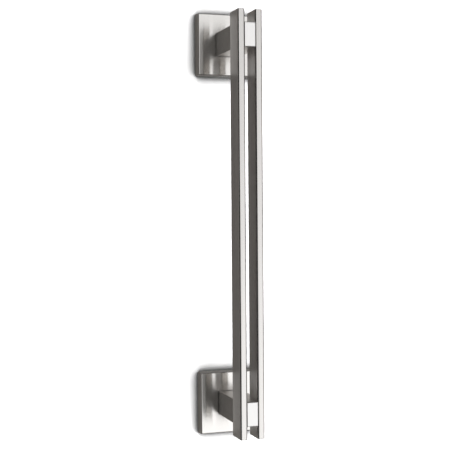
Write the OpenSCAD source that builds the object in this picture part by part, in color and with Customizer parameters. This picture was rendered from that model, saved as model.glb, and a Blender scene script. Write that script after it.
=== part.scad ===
// Bar pull handle: two parallel flat bars on two square posts, each post standing
// on a square rosette over a hidden wall plate.
// Modules are written in a drawing frame with X right, Y up and Z out from the wall.
// mounted() turns that frame so that Z is up and the bars face -Y.

/* [Bars] */
// Distance between the centres of the two posts
post_pitch = 300; // [120:1:600]
// Length of bar past the centre of each post
bar_overhang = 20; // [14:0.5:60]
// Size of a bar from its front face to its back face
bar_depth = 20; // [14:0.5:30]
// Thickness of a bar from its inner face to its outer face
bar_thickness = 6; // [5:0.5:10]
// Open gap between the two bars
bar_gap = 8.5; // [6:0.5:16]
// Radius on the four long edges of a bar
bar_edge_r = 0.8; // [0.2:0.1:1.5]
// Radius on the edges of a bar's two ends
bar_end_r = 0.5; // [0.1:0.1:1]

/* [Posts] */
// Distance from the wall to the front face of the bars
projection = 65; // [55:1:90]
// Size of a post along the bars
post_height = 19.5; // [18:0.5:24]
// Radius on the outer edges of a post
post_edge_r = 0.8; // [0.2:0.1:1.5]
// How far the post's front face lies behind the front face of the bars
tongue_setback = 0.2; // [0:0.1:1]

/* [Rosettes] */
// Width and height of a rosette where it meets the wall
rosette_width = 52; // [48:0.5:70]
// Distance that a rosette stands out from the wall
rosette_depth = 8; // [7.5:0.5:12]
// How far each side leans in over its height
rosette_draft = 0.5; // [0.1:0.1:0.6]
// Radius on the front edges of a rosette
rosette_edge_r = 1; // [0.4:0.1:1.2]
// Radius on the four corners of a rosette, at the wall
rosette_corner_r = 2; // [1.9:0.1:6]
// Thickness of the rosette's metal
rosette_wall = 1.5; // [0.8:0.1:2]
// Gap all round between a post and the rosette's window
window_gap = 0.35; // [0.1:0.05:0.6]

/* [Wall plates] */
// Thickness of a wall plate
plate_thickness = 5; // [4:0.5:5.5]
// Gap all round between a wall plate and the inside of its rosette
plate_gap = 1.5; // [1:0.1:2.5]
// Radius on the corners of a wall plate
plate_corner_r = 1.5; // [0.5:0.1:4]
// Length of the four beads that grip the rosette
bead_length = 14; // [6:1:20]
// Gap between a bead and the inside of the rosette
bead_fit = 0.1; // [0.05:0.05:0.2]
// Diameter of the holes for wall screws
wall_hole_d = 4.5; // [3.5:0.1:5]
// Diameter of the countersinks for wall screws
wall_sink_d = 9; // [7:0.1:9.5]
// Distance of a wall screw's centre from the plate's edges
wall_hole_inset = 6; // [5.5:0.1:6.5]

/* [Spigots and screws] */
// Diameter of the spigot that carries a post
spigot_d = 12; // [11:0.1:13]
// Length of the spigot in front of the wall plate
spigot_length = 16; // [14:0.5:20]
// Chamfer round the spigot's front end
spigot_chamfer = 1; // [0.2:0.1:1.5]
// Radial clearance of the spigot in its post
spigot_fit = 0.1; // [0.02:0.01:0.2]
// Empty depth left in the post in front of the spigot
socket_spare = 1; // [0.5:0.1:3]
// Depth of the groove in the spigot that takes the grub screw's tip
groove_depth = 1.4; // [0.8:0.1:1.5]
// Thread diameter of the countersunk screw that holds the spigot
plate_screw_d = 6; // [5:0.5:6]
// Diameter of that screw's head
plate_screw_head_d = 12; // [10:0.5:12]
// Overall length of that screw
plate_screw_length = 14; // [12:1:16]
// How far that screw's head lies below the back of the wall plate
head_sunk = 0.3; // [0.1:0.1:0.5]
// Thread diameter of the grub screw
grub_d = 5; // [4:0.5:6]
// Radial clearance of a screw in a threaded hole
thread_fit = 0.05; // [0.02:0.01:0.1]
// Radial clearance of a screw in a plain hole
screw_fit = 0.2; // [0.1:0.05:0.3]
// Hexagon key size of the countersunk screw
plate_screw_key = 4; // [3:0.5:4]
// Hexagon key size of the grub screw
grub_key = 2.5; // [2:0.5:3]

/* [Dowels] */
// Diameter of the dowels that hold the bars to a post
dowel_d = 4; // [3:0.5:5]
// Metal left between the end of a dowel's hole and a bar's outer face
dowel_skin = 2; // [1.5:0.1:2.5]
// Radial clearance of a dowel in its holes
dowel_fit = 0.05; // [0.02:0.01:0.1]
// Gap between a dowel's end and the bottom of its hole
dowel_end_gap = 0.25; // [0.1:0.05:0.5]
// Chamfer on a dowel's ends
dowel_chamfer = 0.4; // [0.2:0.1:0.6]

/* [Hidden] */
$fn = 64;
cut = 1;
bar_length = post_pitch + 2 * bar_overhang;
post_width = bar_gap + 2 * bar_thickness;
bar_back = projection - bar_depth;
bar_offset = (bar_gap + bar_thickness) / 2;
plate_width = rosette_width - 2 * (rosette_wall + plate_gap);
socket_r = spigot_d / 2 + spigot_fit;
groove_z = plate_thickness + spigot_length / 2;
groove_r = spigot_d / 2 - groove_depth;
grub_tip_r = grub_d / 8;
grub_point = groove_r + thread_fit;
grub_top = post_height / 2 - thread_fit;
dowel_reach = bar_gap / 2 + bar_thickness - dowel_skin;
dowel_z = [bar_back + bar_depth / 4, projection - bar_depth / 4];

satin_steel = [0.76, 0.74, 0.71];
zinc = [0.66, 0.67, 0.68];
bright_steel = [0.82, 0.82, 0.80];
black_steel = [0.16, 0.16, 0.17];

// Places a child at the upper post, in the row's own axes
module at_upper() {
    rotate([90, 0, 0]) translate([0, post_pitch / 2, 0]) children();
}

// Places a child at the lower post, where the same part is turned half round
module at_lower() {
    rotate([90, 0, 0]) translate([0, -post_pitch / 2, 0]) rotate([0, 0, 180]) children();
}

module rounded_rect(w, h, r) {
    square([w - 2 * r, h], center = true);
    square([w, h - 2 * r], center = true);
    for (x = [-1, 1], y = [-1, 1])
        translate([x * (w / 2 - r), y * (h / 2 - r)]) circle(r);
}

// Cylinder along +Z whose far end is chamfered
module chamfered_pin(r, length, chamfer) {
    rotate_extrude()
        polygon([[0, 0], [r, 0], [r, length - chamfer], [r - chamfer, length], [0, length]]);
}

// Hexagon socket, cut upwards from z = 0
module key_socket(key, depth) {
    translate([0, 0, -cut]) cylinder(d = key / cos(30), h = depth + cut, $fn = 6);
}

// One bar, centred on X and Y, standing from bar_back to projection.
// side is +1 where the inner face looks along +X, and -1 where it looks along -X.
module bar(side) {
    difference() {
        intersection() {
            rotate([90, 0, 0]) linear_extrude(bar_length, center = true)
                translate([0, bar_back + bar_depth / 2])
                    rounded_rect(bar_thickness, bar_depth, bar_edge_r);
            rotate([90, 0, 90]) linear_extrude(bar_thickness + 2 * cut, center = true)
                translate([0, bar_back + bar_depth / 2])
                    rounded_rect(bar_length, bar_depth, bar_end_r);
            translate([0, 0, bar_back - cut]) linear_extrude(bar_depth + 2 * cut)
                rounded_rect(bar_thickness, bar_length, bar_end_r);
        }
        for (y = [-post_pitch / 2, post_pitch / 2], z = dowel_z)
            translate([side * (dowel_skin - bar_thickness / 2), y, z]) rotate([0, side * 90, 0])
                cylinder(r = dowel_d / 2 + dowel_fit, h = bar_thickness);
    }
}

// Post with a full-width block behind the bars and a tongue between them
module post() {
    color(satin_steel) difference() {
        union() {
            translate([0, 0, plate_thickness])
                linear_extrude(bar_back - plate_thickness)
                    rounded_rect(post_width, post_height, post_edge_r);
            rotate([90, 0, 90]) linear_extrude(bar_gap, center = true) tongue_side();
        }
        translate([0, 0, plate_thickness - cut])
            cylinder(r = socket_r, h = spigot_length + socket_spare + cut);
        translate([0, 0, groove_z]) rotate([-90, 0, 0])
            cylinder(r = grub_d / 2 + thread_fit, h = post_height);
        for (z = dowel_z)
            translate([0, 0, z]) rotate([0, 90, 0])
                cylinder(r = dowel_d / 2 + dowel_fit, h = bar_gap + 2 * cut, center = true);
    }
}

// Side view of the tongue, with its two front edges rounded
module tongue_side() {
    root = bar_back - cut;
    tip = projection - tongue_setback;
    half = post_height / 2;
    translate([-half, root]) square([post_height, tip - post_edge_r - root]);
    translate([-half + post_edge_r, root]) square([post_height - 2 * post_edge_r, tip - root]);
    for (y = [-1, 1])
        translate([y * (half - post_edge_r), tip - post_edge_r]) circle(post_edge_r);
}

// Half section of a leaning wall with a rounded front edge: u is measured from the
// axis of a corner, v out from the wall
module edge_section(reach, height, lean, edge_r) {
    polygon([
        [0, 0], [reach, 0], [reach - lean, height - edge_r],
        [reach - lean - edge_r, height - edge_r], [reach - lean - edge_r, height], [0, height]
    ]);
    translate([reach - lean - edge_r, height - edge_r]) intersection() {
        circle(edge_r);
        square(edge_r);
    }
}

// Square block whose sides lean in and whose front edges are rounded
module leaning_block(width, height, lean, edge_r, corner_r) {
    inner = width / 2 - corner_r;
    translate([-inner, -inner, 0]) cube([2 * inner, 2 * inner, height]);
    for (turn = [0 : 90 : 270]) rotate([0, 0, turn]) {
        translate([inner, inner, 0]) rotate_extrude()
            edge_section(corner_r, height, lean, edge_r);
        translate([inner, inner, 0]) rotate([90, 0, 0]) linear_extrude(2 * inner)
            edge_section(corner_r, height, lean, edge_r);
    }
}

// Pressed cover: a shell with a window that the post passes through
module rosette() {
    inner_depth = rosette_depth - rosette_wall;
    inner_edge_r = rosette_edge_r / 2;
    inner_corner_r = rosette_corner_r - inner_edge_r;
    color(satin_steel) difference() {
        leaning_block(rosette_width, rosette_depth, rosette_draft, rosette_edge_r, rosette_corner_r);
        translate([0, 0, -cut])
            linear_extrude(cut + inner_depth / 2)
                rounded_rect(plate_width + 2 * plate_gap - 2 * rosette_draft,
                    plate_width + 2 * plate_gap - 2 * rosette_draft, inner_corner_r);
        leaning_block(plate_width + 2 * plate_gap, inner_depth, rosette_draft, inner_edge_r, inner_corner_r);
        linear_extrude(rosette_depth + cut)
            rounded_rect(post_width + 2 * window_gap, post_height + 2 * window_gap,
                post_edge_r + window_gap);
    }
}

// Half width of the rosette's inside at a height z above the wall
function inside_half(z) =
    rosette_width / 2 - rosette_wall
    - rosette_draft * z / (rosette_depth - rosette_wall - rosette_edge_r / 2);

// Plate that is screwed to the wall, with a bead on each side for the rosette
module wall_plate() {
    hole = plate_width / 2 - wall_hole_inset;
    sink_depth = (wall_sink_d - wall_hole_d) / 2;
    bead_z = plate_thickness / 2;
    bead_r = inside_half(bead_z) - bead_fit - plate_width / 2;
    shank_r = plate_screw_d / 2 + screw_fit;
    head_r = plate_screw_head_d / 2 + screw_fit + head_sunk;
    color(zinc) difference() {
        union() {
            linear_extrude(plate_thickness) rounded_rect(plate_width, plate_width, plate_corner_r);
            for (turn = [0 : 90 : 270])
                rotate([0, 0, turn]) translate([plate_width / 2, 0, bead_z]) rotate([90, 0, 0])
                    cylinder(r = bead_r, h = bead_length, center = true);
        }
        for (x = [-hole, hole], y = [-hole, hole]) translate([x, y, 0]) {
            translate([0, 0, -cut]) cylinder(d = wall_hole_d, h = plate_thickness + 2 * cut);
            translate([0, 0, plate_thickness - sink_depth])
                cylinder(d1 = wall_hole_d, d2 = wall_sink_d + 2 * cut, h = sink_depth + cut);
        }
        translate([0, 0, -cut]) cylinder(r = shank_r, h = plate_thickness + 2 * cut);
        translate([0, 0, -cut])
            cylinder(r1 = head_r + cut, r2 = shank_r, h = head_r - shank_r + cut);
    }
}

// Round spigot with a tapped hole behind and a groove for the grub screw
module spigot() {
    half_groove = groove_depth + grub_tip_r;
    color(bright_steel) difference() {
        translate([0, 0, plate_thickness])
            chamfered_pin(spigot_d / 2, spigot_length, spigot_chamfer);
        translate([0, 0, plate_thickness - cut])
            cylinder(r = plate_screw_d / 2 + thread_fit,
                h = plate_screw_length + head_sunk + socket_spare + cut - plate_thickness);
        translate([0, 0, groove_z]) rotate_extrude() polygon([
            [groove_r, -grub_tip_r], [groove_r, grub_tip_r],
            [spigot_d / 2 + cut, half_groove + cut], [spigot_d / 2 + cut, -half_groove - cut]
        ]);
    }
}

// Countersunk screw, entered from the back of the wall plate
module plate_screw() {
    shank_r = plate_screw_d / 2;
    head_r = plate_screw_head_d / 2;
    color(bright_steel) translate([0, 0, head_sunk]) difference() {
        union() {
            chamfered_pin(shank_r, plate_screw_length, spigot_chamfer / 2);
            cylinder(r1 = head_r, r2 = shank_r, h = head_r - shank_r);
        }
        key_socket(plate_screw_key, (head_r - shank_r) * 0.75);
    }
}

// Grub screw whose cone tip sits in the spigot's groove
module grub_screw() {
    r = grub_d / 2;
    length = grub_top - grub_point;
    cone = r - grub_tip_r;
    color(black_steel) translate([0, grub_top, groove_z]) rotate([90, 0, 0]) difference() {
        rotate_extrude()
            polygon([[0, 0], [r, 0], [r, length - cone], [grub_tip_r, length], [0, length]]);
        key_socket(grub_key, length * 0.4);
    }
}

// Dowel across the tongue and into both bars
module dowel(z) {
    half = dowel_reach - dowel_end_gap;
    color(bright_steel) translate([0, 0, z]) rotate([0, 90, 0])
        for (side = [0, 180]) rotate([side, 0, 0])
            chamfered_pin(dowel_d / 2, half, dowel_chamfer);
}

module bar_left() {
    color(satin_steel) rotate([90, 0, 0]) translate([-bar_offset, 0, 0]) bar(1);
}

module bar_right() {
    color(satin_steel) rotate([90, 0, 0]) translate([bar_offset, 0, 0]) bar(-1);
}

module post_upper() { at_upper() post(); }
module post_lower() { at_lower() post(); }
module rosette_upper() { at_upper() rosette(); }
module rosette_lower() { at_lower() rosette(); }
module wall_plate_upper() { at_upper() wall_plate(); }
module wall_plate_lower() { at_lower() wall_plate(); }
module spigot_upper() { at_upper() spigot(); }
module spigot_lower() { at_lower() spigot(); }
module plate_screw_upper() { at_upper() plate_screw(); }
module plate_screw_lower() { at_lower() plate_screw(); }
module grub_screw_upper() { at_upper() grub_screw(); }
module grub_screw_lower() { at_lower() grub_screw(); }
module dowel_upper_front() { at_upper() dowel(dowel_z[1]); }
module dowel_upper_back() { at_upper() dowel(dowel_z[0]); }
module dowel_lower_front() { at_lower() dowel(dowel_z[1]); }
module dowel_lower_back() { at_lower() dowel(dowel_z[0]); }

bar_left();
bar_right();
post_upper();
post_lower();
rosette_upper();
rosette_lower();
wall_plate_upper();
wall_plate_lower();
spigot_upper();
spigot_lower();
plate_screw_upper();
plate_screw_lower();
grub_screw_upper();
grub_screw_lower();
dowel_upper_front();
dowel_upper_back();
dowel_lower_front();
dowel_lower_back();
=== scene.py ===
"""Looks of a bar pull handle in satin steel: two flat bars, two posts and two rosettes on a white wall."""

import math

import bpy
import numpy as np
from mathutils import Matrix, Vector


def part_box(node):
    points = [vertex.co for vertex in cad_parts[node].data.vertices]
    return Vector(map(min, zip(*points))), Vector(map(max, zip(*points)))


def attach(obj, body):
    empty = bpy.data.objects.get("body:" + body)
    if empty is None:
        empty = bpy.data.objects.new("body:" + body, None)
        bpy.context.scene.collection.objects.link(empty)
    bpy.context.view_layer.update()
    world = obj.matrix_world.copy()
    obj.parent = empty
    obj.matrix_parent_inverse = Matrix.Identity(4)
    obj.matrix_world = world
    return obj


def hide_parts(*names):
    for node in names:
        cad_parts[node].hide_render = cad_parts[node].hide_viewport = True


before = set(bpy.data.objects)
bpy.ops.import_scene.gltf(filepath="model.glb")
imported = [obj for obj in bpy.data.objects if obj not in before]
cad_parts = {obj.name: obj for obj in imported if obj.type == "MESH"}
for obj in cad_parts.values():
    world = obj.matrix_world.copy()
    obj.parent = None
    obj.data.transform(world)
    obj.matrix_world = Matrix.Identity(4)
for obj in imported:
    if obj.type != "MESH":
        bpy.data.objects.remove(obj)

# Camera, as fitted to the picture: a 450 pixel square whose axis runs through its middle
PICTURE_PIXELS = 450
FOCAL_PIXELS = 1026.8
SENSOR_MM = 36.0
CAMERA_PLACE = (-0.2688, -0.8284, 0.0129)
CAMERA_YAW = 17.92
CAMERA_PITCH = -0.91
CAMERA_ROLL = -0.42

# Wall behind the handle, in metres
WALL_HALF_SIZE = 3.0
WALL_GAP = 0.0002

# How white the wall is: in soft light, as metal mirrors it, and to the camera. Metal sees it a little warm.
WALL_PLAIN = 0.60
WALL_IN_METAL = 0.48
WALL_TO_CAMERA = 3.8
WALL_WARMTH = 0.05

# Painted shadow: a soft dark rim painted on the wall round the rosettes from an occlusion test. Its reach
# in metres, the rays that test it, the value at which it would be gone, and its darkest share
PAINTED_SHADOW_REACH = 0.014
PAINTED_SHADOW_RAYS = 16
PAINTED_SHADOW_OPEN = 1.12
PAINTED_SHADOW_LEAST = 0.05

# Soft light in front of the handle. Azimuths are in degrees from -Y towards +X: the light starts at the
# front left, goes over from its left part to its right part near the front, and fades at the right.
LEFT_START = -28.0
LEFT_FULL = -18.0
RIGHT_START = -2.0
RIGHT_FULL = 12.0
RIGHT_FADE = 45.0
RIGHT_END = 57.0

# Heights are the upward part of a direction of length 1. Each part of the light has one brightness below
# and one above, and goes over from one to the other between minus and plus the spread.
LEFT_BELOW = 0.75
LEFT_ABOVE = 1.30
RIGHT_BELOW = 1.55
RIGHT_ABOVE = 1.00
LIGHT_SPREAD = 0.35

# Where steep directions fade, and the share of the light left there and past the right end
STEEP_START = 0.50
STEEP_END = 0.70
FADED = 0.10

# Light from behind the wall, which rises with the part of a direction along +Y
BACK_START = 0.02
BACK_FULL = 0.20
BACK_LEVEL = 0.7

# Radii of the bars in metres: front edges, back edges and the edges round both ends
BAR_FRONT_RADIUS = 0.0015
BAR_BACK_RADIUS = 0.0008
BAR_END_RADIUS = 0.0005

# Rosettes, in metres: how far the sides lean in, the radii of the front edges and of the corners, the
# shell, the gap between window and post, and the radius of the post's edges
ROSETTE_LEAN = 0.0005
ROSETTE_EDGE = 0.0009
ROSETTE_CORNER = 0.0004
ROSETTE_WALL = 0.0015
WINDOW_GAP = 0.00035
POST_EDGE = 0.0008

# Points on a quarter circle: on round edges and corners, and round the bars' ends
ARC_STEPS = 10
END_STEPS = 7

X, Y, Z = range(3)

# A face begins to count as looking along an axis at the first of these parts of its direction, and counts
# in full from the second
SIDE_FROM = 0.90
SIDE_FULL = 0.97

# Brushing: streaks per metre across and along it, how many broad ones there are for a fine one, the share
# of the fine ones, how much they change the colour, and what they make of the roughness
BRUSH_ACROSS = 3500.0
BRUSH_ALONG = 40.0
BROAD_FOR_FINE = 0.15
FINE_SHARE = 0.6
BRUSH_CONTRAST = 0.10
BRUSH_ROUGHNESS = (0.6, 1.4)

# Posts: colour, streaks per metre along them, how much those change it, the roughness, how much paler the
# faces above and below are painted as painted light, and how much less rough they are
POST_COLOUR = (0.400, 0.384, 0.366)
POST_ALONG = 60.0
POST_CONTRAST = 0.15
POST_ROUGHNESS = (0.50, 0.68)
POST_LEVEL_PAINTED_LIGHT = 1.4
POST_LEVEL_FINER = 0.22

# The tongue's ground end, painted near white: a ground finish with a painted highlight. Its colour, how
# much its streaks change it, the roughness, and how far behind the end they start, in metres
GROUND_AND_HIGHLIGHT_COLOUR = (0.92, 0.91, 0.90)
GROUND_CONTRAST = 0.04
GROUND_ROUGHNESS = (0.42, 0.50)
GROUND_DEPTH = 0.0006

# Zinc plating: its darkest and palest colour, cells and grains per metre, the cells' share in the colour,
# and what cells and grains make of the roughness
ZINC_DARK = (0.47, 0.48, 0.50, 1.0)
ZINC_PALE = (0.62, 0.63, 0.64, 1.0)
ZINC_CELLS = 450.0
ZINC_GRAINS = 2500.0
ZINC_CELL_SHARE = 0.6
ZINC_ROUGHNESS = (0.26, 0.40)
ZINC_GRAIN_ROUGHNESS = 0.06

# Turned steel: tool marks per metre along its axis and round it, how much they change the colour, and what
# they make of the roughness
MARKS_ALONG = 5000.0
MARKS_ROUND = 60.0
MARKS_CONTRAST = 0.08
MARKS_ROUGHNESS = (0.7, 1.3)

# Black oxide: patches per metre, the values between which it turns thin, its colours and its roughness
OXIDE_PATCHES = 900.0
OXIDE_THIN = (0.45, 0.75)
OXIDE_DARK = (0.035, 0.036, 0.040, 1.0)
OXIDE_BROWN = (0.085, 0.070, 0.058, 1.0)
OXIDE_ROUGHNESS = (0.32, 0.48)


class Value:
    """A number that varies over a surface. Operators on it add Math nodes to its tree."""

    def __init__(self, tree, socket):
        self.tree = tree
        self.socket = socket

    def __add__(self, other):
        return self.tree.maths("ADD", self, other)

    def __sub__(self, other):
        return self.tree.maths("SUBTRACT", self, other)

    def __rsub__(self, other):
        return self.tree.maths("SUBTRACT", other, self)

    def __mul__(self, other):
        return self.tree.maths("MULTIPLY", self, other)

    __radd__ = __add__
    __rmul__ = __mul__

    def between(self, low, high):
        """low where the value is 0, high where it is 1, and evenly in between."""
        return low + self * (high - low)

    def mixed(self, other, share):
        """So much of this value, and the rest of the other."""
        return self * share + other * (1 - share)

    def smooth(self, start, end, low=0.0, high=1.0):
        """Smooth step from low to high while the value goes from start to end."""
        settings = {"interpolation_type": "SMOOTHSTEP"}
        return self.tree.node("ShaderNodeMapRange", settings, (self, start, end, low, high))


class Tree:
    """The node tree of one material or of the world."""

    def __init__(self, owner):
        owner.use_nodes = True
        self.owner = owner
        self.nodes = owner.node_tree.nodes
        self.links = owner.node_tree.links
        self.nodes.clear()

    def node(self, kind, settings=None, inputs=(), output=0):
        """Adds a node: its settings first, then its sockets' values or links, by place or by name."""
        made = self.nodes.new(kind)
        for name, value in (settings or {}).items():
            setattr(made, name, value)
        pairs = inputs.items() if isinstance(inputs, dict) else enumerate(inputs)
        for key, value in pairs:
            if isinstance(value, Value):
                self.links.new(value.socket, made.inputs[key])
            else:
                made.inputs[key].default_value = value
        return Value(self, made.outputs[output]) if made.outputs else None

    def maths(self, operation, *values):
        """One Math node."""
        return self.node("ShaderNodeMath", {"operation": operation}, values)

    def ray(self, output):
        """What the light path says of the ray."""
        return self.node("ShaderNodeLightPath", output=output)

    def place(self):
        """Where the surface is, in the piece's own coordinates."""
        return self.node("ShaderNodeTexCoord", output="Object")

    def part(self, vector, axis):
        """One of the three numbers of a vector."""
        return self.node("ShaderNodeSeparateXYZ", inputs=(vector,), output=axis)

    def noise(self, axis, along, across, detail):
        """Noise from 0 to 1 that repeats so often per metre along an axis and across it."""
        repeats = [along if other == axis else across for other in (X, Y, Z)]
        spread = self.node("ShaderNodeVectorMath", {"operation": "MULTIPLY"}, (self.place(), repeats))
        return self.node("ShaderNodeTexNoise", inputs={"Vector": spread, "Scale": 1.0, "Detail": detail})

    def blend(self, share, low, high):
        """Colour between low and high."""
        return self.node("ShaderNodeMix", {"data_type": "RGBA"}, {0: share, 6: low, 7: high}, output=2)

    def tones(self, share, colour, contrast, pale=1.0):
        """The colour times pale, darker by the contrast where share is 0 and lighter by it at 1."""
        return self.blend(share, shade(colour, (1 - contrast) * pale), shade(colour, (1 + contrast) * pale))

    def lean(self, push):
        """The surface's direction, pushed over by a little along each axis."""
        pushes = self.node("ShaderNodeCombineXYZ", inputs=push)
        out = self.node("ShaderNodeNewGeometry", output="Normal")
        pushed = self.node("ShaderNodeVectorMath", {"operation": "ADD"}, (out, pushes))
        return self.node("ShaderNodeVectorMath", {"operation": "NORMALIZE"}, (pushed,))

    def sideways(self, axis):
        """1 where the surface looks along the axis, either way, and 0 elsewhere."""
        facing = self.part(self.node("ShaderNodeNewGeometry", output="Normal"), axis)
        return self.maths("ABSOLUTE", facing).smooth(SIDE_FROM, SIDE_FULL)

    def metal(self, colour, roughness, **sockets):
        """Finishes the tree as bare metal and gives its material."""
        wanted = {"Base Color": colour, "Metallic": 1.0, "Roughness": roughness}
        wanted.update({name.replace("_", " "): value for name, value in sockets.items()})
        shader = self.node("ShaderNodeBsdfPrincipled", inputs=wanted)
        self.node("ShaderNodeOutputMaterial", inputs=(shader,))
        return self.owner


def shade(colour, share):
    """The colour made lighter or darker, as Blender wants it."""
    return tuple(c * share for c in colour) + (1.0,)


def frame_camera():
    """Camera whose axes are turned by yaw from +Y towards +X, then by pitch and roll."""
    yaw, pitch, roll = (math.radians(a) for a in (CAMERA_YAW, CAMERA_PITCH, CAMERA_ROLL))
    level = Vector((math.sin(yaw), math.cos(yaw), 0))
    right = Vector((math.cos(yaw), -math.sin(yaw), 0))
    up = Vector((0, 0, 1))
    ahead = math.cos(pitch) * level + math.sin(pitch) * up
    above = math.cos(pitch) * up - math.sin(pitch) * level
    side = math.cos(roll) * right + math.sin(roll) * above
    top = math.cos(roll) * above - math.sin(roll) * right
    turn = Matrix((side, top, -ahead)).transposed()
    data = bpy.data.cameras.new("camera")
    data.sensor_width = SENSOR_MM
    data.lens = FOCAL_PIXELS / PICTURE_PIXELS * SENSOR_MM
    camera = bpy.data.objects.new("camera", data)
    camera.matrix_world = Matrix.Translation(CAMERA_PLACE) @ turn.to_4x4()
    bpy.context.scene.collection.objects.link(camera)
    bpy.context.scene.camera = camera


def wall_material():
    """White wall: plain in soft light, greyer in metal, white to the camera, and open from behind.

    The rim is a painted shadow: an occlusion test darkens the wall's colour for the camera near the
    rosettes.
    Half of the sky is hidden from the foot of a straight side, so the painted shadow is darkest where twice
    the open share less 1 is 0. A ray that came through the wall from behind doesn't meet it again.
    """
    tree = Tree(bpy.data.materials.new("wall_white"))
    to_camera = tree.ray("Is Camera Ray")
    to_metal = tree.maths("MAXIMUM", tree.ray("Is Glossy Ray"), tree.ray("Is Transmission Ray"))
    seen = tree.node("ShaderNodeAmbientOcclusion", {"samples": PAINTED_SHADOW_RAYS}, {"Distance": PAINTED_SHADOW_REACH}, "AO")
    # rim: painted shadow on the wall, darkest right beside the rosettes
    rim = (2 * seen - 1).smooth(0.0, PAINTED_SHADOW_OPEN, PAINTED_SHADOW_LEAST, 1.0)
    level = to_camera.between(to_metal.between(WALL_PLAIN, WALL_IN_METAL), WALL_TO_CAMERA * rim)
    red, blue = (level * (1 + way * WALL_WARMTH * to_metal) for way in (1, -1))
    colour = tree.node("ShaderNodeCombineColor", inputs=(red, level, blue))
    face = tree.node("ShaderNodeBsdfDiffuse", inputs={"Color": colour})
    gone = tree.node("ShaderNodeBsdfTransparent")
    behind = tree.node("ShaderNodeNewGeometry", output="Backfacing")
    opened = tree.maths("MAXIMUM", behind, tree.ray("Transparent Depth"))
    shown = tree.node("ShaderNodeMixShader", inputs=(opened, face, gone))
    tree.node("ShaderNodeOutputMaterial", inputs=(shown,))
    return tree.owner


def build_wall():
    """One square behind the handle, facing -Y."""
    s = WALL_HALF_SIZE
    points = [(-s, WALL_GAP, -s), (s, WALL_GAP, -s), (s, WALL_GAP, s), (-s, WALL_GAP, s)]
    mesh = bpy.data.meshes.new("wall")
    mesh.from_pydata(points, [], [(0, 1, 2, 3)])
    wall = bpy.data.objects.new("wall", mesh)
    bpy.context.scene.collection.objects.link(wall)
    mesh.materials.append(wall_material())


def light_world():
    """Soft light in front of the handle and behind the wall, dark at both sides. The camera sees white."""
    world = bpy.data.worlds.new("studio")
    bpy.context.scene.world = world
    tree = Tree(world)
    along = tree.node("ShaderNodeTexCoord", output="Generated")
    x, y, z = (tree.part(along, axis) for axis in (X, Y, Z))
    azimuth = tree.maths("ARCTAN2", x, 0 - y) * (180 / math.pi)
    left = z.smooth(-LIGHT_SPREAD, LIGHT_SPREAD, LEFT_BELOW, LEFT_ABOVE)
    right = z.smooth(-LIGHT_SPREAD, LIGHT_SPREAD, RIGHT_BELOW, RIGHT_ABOVE)
    steep = tree.maths("ABSOLUTE", z).smooth(STEEP_START, STEEP_END, 1.0, FADED)
    reach = azimuth.smooth(LEFT_START, LEFT_FULL) * azimuth.smooth(RIGHT_FADE, RIGHT_END, 1.0, FADED)
    front = azimuth.smooth(RIGHT_START, RIGHT_FULL).between(left, right) * reach * steep
    level = front + y.smooth(BACK_START, BACK_FULL) * BACK_LEVEL
    lit = tree.ray("Is Camera Ray").between(level, 1)
    colour = tree.node("ShaderNodeCombineColor", inputs=(lit, lit, lit))
    shown = tree.node("ShaderNodeBackground", inputs=(colour,))
    tree.node("ShaderNodeOutputWorld", inputs=(shown,))


def brushed(name, colour, along, roughness, side, side_roughness, side_painted_light, **sockets):
    """Steel brushed along an axis: fine and broad streaks in colour and in roughness.

    The faces that look along the axis side have a roughness of their own, and their colour is made paler or
    darker by a given share: painted light or painted shade on those sides.
    """
    tree = Tree(bpy.data.materials.new(name))
    fine = tree.noise(along, BRUSH_ALONG, BRUSH_ACROSS, detail=2.0)
    broad = tree.noise(along, BRUSH_ALONG * BROAD_FOR_FINE, BRUSH_ACROSS * BROAD_FOR_FINE, detail=1.0)
    streak = fine.mixed(broad, FINE_SHARE)
    flank = tree.sideways(side)
    plain = tree.tones(streak, colour, BRUSH_CONTRAST)
    # The sides' colour, made paler or darker by a given share: painted light or painted shade
    other = tree.tones(streak, colour, BRUSH_CONTRAST, side_painted_light)
    rough = streak.between(*BRUSH_ROUGHNESS) * flank.between(roughness, side_roughness)
    return tree.metal(tree.blend(flank, plain, other), rough, **sockets)


def post_steel():
    """Matt dark steel brushed along the post, its faces above and below painted paler as painted light, and
    the tongue's end ground and painted near white: a ground finish with a painted highlight.
    """
    tree = Tree(bpy.data.materials.new("post_steel"))
    tongue_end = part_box("post_upper")[0].y
    ground_from = tongue_end + GROUND_DEPTH
    ground_full = tongue_end + GROUND_DEPTH / 2
    end = tree.part(tree.place(), Y).smooth(ground_from, ground_full)
    level = tree.sideways(Z)
    streak = tree.noise(Y, POST_ALONG, BRUSH_ACROSS, detail=2.0)
    ground = tree.noise(Z, POST_ALONG, BRUSH_ACROSS, detail=2.0)
    plain = tree.tones(streak, POST_COLOUR, POST_CONTRAST)
    # Faces above and below painted paler: painted light
    pale = tree.tones(streak, POST_COLOUR, POST_CONTRAST, POST_LEVEL_PAINTED_LIGHT)
    # Ground end near white: a ground finish with a painted highlight
    ground_and_highlight = tree.tones(ground, GROUND_AND_HIGHLIGHT_COLOUR, GROUND_CONTRAST)
    matt = streak.between(*POST_ROUGHNESS) - POST_LEVEL_FINER * level
    rough = end.between(matt, ground.between(*GROUND_ROUGHNESS))
    return tree.metal(tree.blend(end, tree.blend(level, plain, pale), ground_and_highlight), rough)


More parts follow.
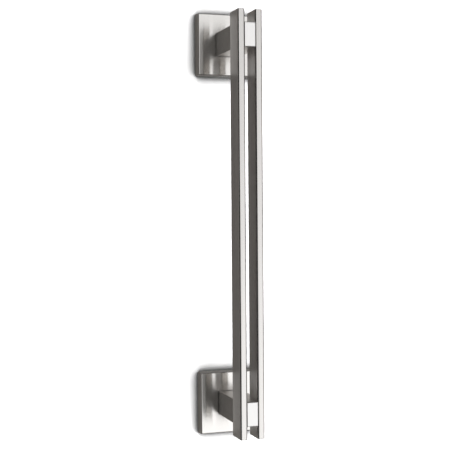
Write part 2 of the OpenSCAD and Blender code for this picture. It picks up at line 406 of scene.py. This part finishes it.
def zinc():
    """Zinc plating: pale cells of slightly different brightness, with a fine grain."""
    tree = Tree(bpy.data.materials.new("zinc_plating"))
    cells = {"Vector": tree.place(), "Scale": ZINC_CELLS}
    cell = tree.part(tree.node("ShaderNodeTexVoronoi", inputs=cells, output="Color"), X)
    grain = tree.noise(Z, ZINC_GRAINS, ZINC_GRAINS, detail=2.0)
    tint = tree.blend(cell.mixed(grain, ZINC_CELL_SHARE), ZINC_DARK, ZINC_PALE)
    return tree.metal(tint, cell.between(*ZINC_ROUGHNESS) + ZINC_GRAIN_ROUGHNESS * grain)


def turned(name, colour, axis, roughness, groove):
    """Steel with tool marks round an axis: rings that lean the surface to and fro along it."""
    tree = Tree(bpy.data.materials.new(name))
    ring = tree.noise(axis, MARKS_ALONG, MARKS_ROUND, detail=1.0)
    push = [0.0, 0.0, 0.0]
    push[axis] = (ring - 0.5) * groove
    tint = tree.tones(ring, colour, MARKS_CONTRAST)
    return tree.metal(tint, roughness * ring.between(*MARKS_ROUGHNESS), Normal=tree.lean(push))


def black_oxide():
    """Blackened steel, a little brown where it is thin."""
    tree = Tree(bpy.data.materials.new("black_oxide"))
    patch = tree.noise(Z, OXIDE_PATCHES, OXIDE_PATCHES, detail=3.0)
    tint = tree.blend(patch.smooth(*OXIDE_THIN), OXIDE_DARK, OXIDE_BROWN)
    return tree.metal(tint, patch.between(*OXIDE_ROUGHNESS))


def outline(half_u, half_v, radii):
    """Outline of a rectangle round the origin with round corners, and its outward directions.

    Corner k turns from 90 k to 90 k + 90 degrees: centre_k + radius_k (cos a, sin a). Flats join them.
    radii: one for all corners, or one for each.
    """
    radii = np.broadcast_to(radii, 4)[:, None]
    centres = np.array([(1, 1), (-1, 1), (-1, -1), (1, -1)]) * (np.array([half_u, half_v]) - radii)
    turn = np.radians(np.linspace(0, 90, ARC_STEPS)[None] + 90 * np.arange(4)[:, None])
    out = np.stack([np.cos(turn), np.sin(turn)], 2)
    line = centres[:, None] + radii[:, None] * out
    return line.reshape(-1, 2), out.reshape(-1, 2)


def skin(name, lines, heights, out, leans, axes, middle):
    """A surface through outlines at given heights: P(k, i) = middle + u U + v V + height W.

    Band k joins outline k to the next. The surface's direction is cos(lean) out + sin(lean) W, and leans
    gives the lean at both ends of each band, in degrees: 0 looks outwards, 90 up the heights, 180 inwards
    and 270 down them. With as many bands as outlines the last band returns to the first outline, otherwise
    both ends are closed by flat fans.
    """
    flat = np.array(axes[:2], float)
    up = np.array(axes[2], float)
    grid = np.array(lines) @ flat + np.array(heights)[:, None, None] * up
    rings, count = grid.shape[:2]
    i = np.arange(count)
    j = (i + 1) % count
    here = np.arange(len(leans))[:, None] * count
    there = (here + count) % (rings * count)
    faces = np.stack([here + i, here + j, there + j, there + i], 2).reshape(-1, 4).tolist()
    lean = np.radians(np.array(leans, float))[:, None, [0, 0, 1, 1], None]
    spread = (out @ flat)[np.stack([i, j, j, i], 1)]
    ways = (np.cos(lean) * spread + np.sin(lean) * up).reshape(-1, 3)
    points = grid.reshape(-1, 3)
    if len(leans) < rings:
        last = (rings - 1) * count
        low = np.stack([j, i, np.full(count, rings * count)], 1)
        high = np.stack([last + i, last + j, np.full(count, rings * count + 1)], 1)
        faces += low.tolist() + high.tolist()
        ways = np.concatenate([ways, np.tile(-up, (3 * count, 1)), np.tile(up, (3 * count, 1))])
        points = np.concatenate([points, grid[[0, -1]].mean(1)])
    mesh = bpy.data.meshes.new(name)
    mesh.from_pydata((points + np.array(middle)).tolist(), [], faces)
    mesh.polygons.foreach_set("use_smooth", np.ones(len(mesh.polygons), bool))
    mesh.normals_split_custom_set(ways.tolist())
    piece = bpy.data.objects.new(name, mesh)
    bpy.context.scene.collection.objects.link(piece)
    return piece


def bar(node):
    """One flat bar: its section carried along Z, and drawn in on a quarter circle of radius e at both ends.

    Over the last e of it, z = +-(half length - e + e sin b), and the outline moves in by e (1 - cos b).
    """
    low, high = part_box(node)
    half = (high - low) / 2
    radii = [BAR_BACK_RADIUS, BAR_BACK_RADIUS, BAR_FRONT_RADIUS, BAR_FRONT_RADIUS]
    section, out = outline(half.x, half.y, radii)
    bend = np.linspace(0, 90, END_STEPS)
    bends = np.concatenate([-bend[::-1], bend])
    inset = BAR_END_RADIUS * (1 - np.cos(np.radians(bends)))
    straight = np.repeat([-1, 1], END_STEPS) * (half.z - BAR_END_RADIUS)
    heights = straight + BAR_END_RADIUS * np.sin(np.radians(bends))
    lines = section - inset[:, None, None] * out
    leans = list(zip(bends, bends[1:]))
    axes = ((1, 0, 0), (0, 1, 0), (0, 0, 1))
    return skin(node + "_shown", lines, heights, out, leans, axes, (low + high) / 2)


def rosette(node):
    """One pressed cover, as tall from the wall as its box is deep.

    A square outline goes up its leaning side, over a quarter circle to the face, down the post's window and
    back along the inside. On the quarter circle of radius e the half width is face + e cos b and the height
    is depth - e + e sin b.
    """
    low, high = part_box(node)
    post_low, post_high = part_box(node.replace("rosette", "post"))
    half = (high.x - low.x) / 2
    depth = high.y - low.y
    rim = depth - ROSETTE_EDGE
    face = half - ROSETTE_LEAN - ROSETTE_EDGE
    bend = np.linspace(0, 90, ARC_STEPS)
    halves = face + ROSETTE_EDGE * np.cos(np.radians(bend))
    rise = rim + ROSETTE_EDGE * np.sin(np.radians(bend))
    inner = depth - ROSETTE_WALL
    hollow = half - ROSETTE_WALL
    post = (post_high - post_low) / 2
    window, out = outline(post.x + WINDOW_GAP, post.z + WINDOW_GAP, POST_EDGE + WINDOW_GAP)
    outside = [outline(h, h, ROSETTE_CORNER)[0] for h in (half, *halves)]
    inside = [outline(h, h, ROSETTE_CORNER)[0] for h in (hollow - ROSETTE_LEAN, hollow)]
    lines = [*outside, window, window, *inside]
    heights = [0, *rise, depth, inner, inner, 0]
    slope = math.degrees(math.atan2(ROSETTE_LEAN, rim))
    around = [(slope, slope), *zip([slope, *bend[1:]], bend[1:])]
    leans = around + [(90, 90), (180, 180), (270, 270), (180, 180), (270, 270)]
    axes = ((1, 0, 0), (0, 0, 1), (0, -1, 0))
    middle = ((low.x + high.x) / 2, high.y, (low.z + high.z) / 2)
    return skin(node + "_shown", lines, heights, out, leans, axes, middle)


def both(kind):
    """The upper and the lower node of a kind."""
    return [kind + "_upper", kind + "_lower"]


def dress(nodes, material):
    """Gives CAD nodes a material."""
    for node in nodes:
        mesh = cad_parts[node].data
        mesh.materials.clear()
        mesh.materials.append(material)


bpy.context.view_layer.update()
frame_camera()
build_wall()
light_world()

# Bars' sides painted darker: painted shade
bar_steel = brushed(
    "bar_steel", (0.60, 0.585, 0.57), along=Z, roughness=0.14,
    side=X, side_roughness=0.32, side_painted_light=0.88, Anisotropic=0.5,
)
# Rosettes' faces above and below painted paler: painted light
rosette_steel = brushed(
    "rosette_steel", (0.74, 0.723, 0.702), along=X, roughness=0.15,
    side=Z, side_roughness=0.28, side_painted_light=1.55, Anisotropic=1.0, Anisotropic_Rotation=0.25,
)
for make, nodes, steel, slot in (
    (bar, ["bar_left", "bar_right"], bar_steel, "satin_bar"),
    (rosette, both("rosette"), rosette_steel, "satin_rosette"),
):
    dress(nodes, steel)
    for node in nodes:
        piece = make(node)
        piece.data.materials.append(steel)
        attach(piece, "root")
        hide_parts(node)
dress(both("post"), post_steel())
dress(both("wall_plate"), zinc())
dress(both("spigot"), turned("spigot_steel", (0.60, 0.60, 0.58), axis=Y, roughness=0.24, groove=0.10))
dress(both("plate_screw"), turned("screw_steel", (0.60, 0.60, 0.60), axis=Y, roughness=0.28, groove=0.05))
dress(both("grub_screw"), black_oxide())
dowels = [dowel + end for dowel in both("dowel") for end in ("_front", "_back")]
dress(dowels, turned("dowel_steel", (0.62, 0.62, 0.60), axis=X, roughness=0.14, groove=0.03))

scene = bpy.context.scene
scene.view_settings.view_transform = "Standard"
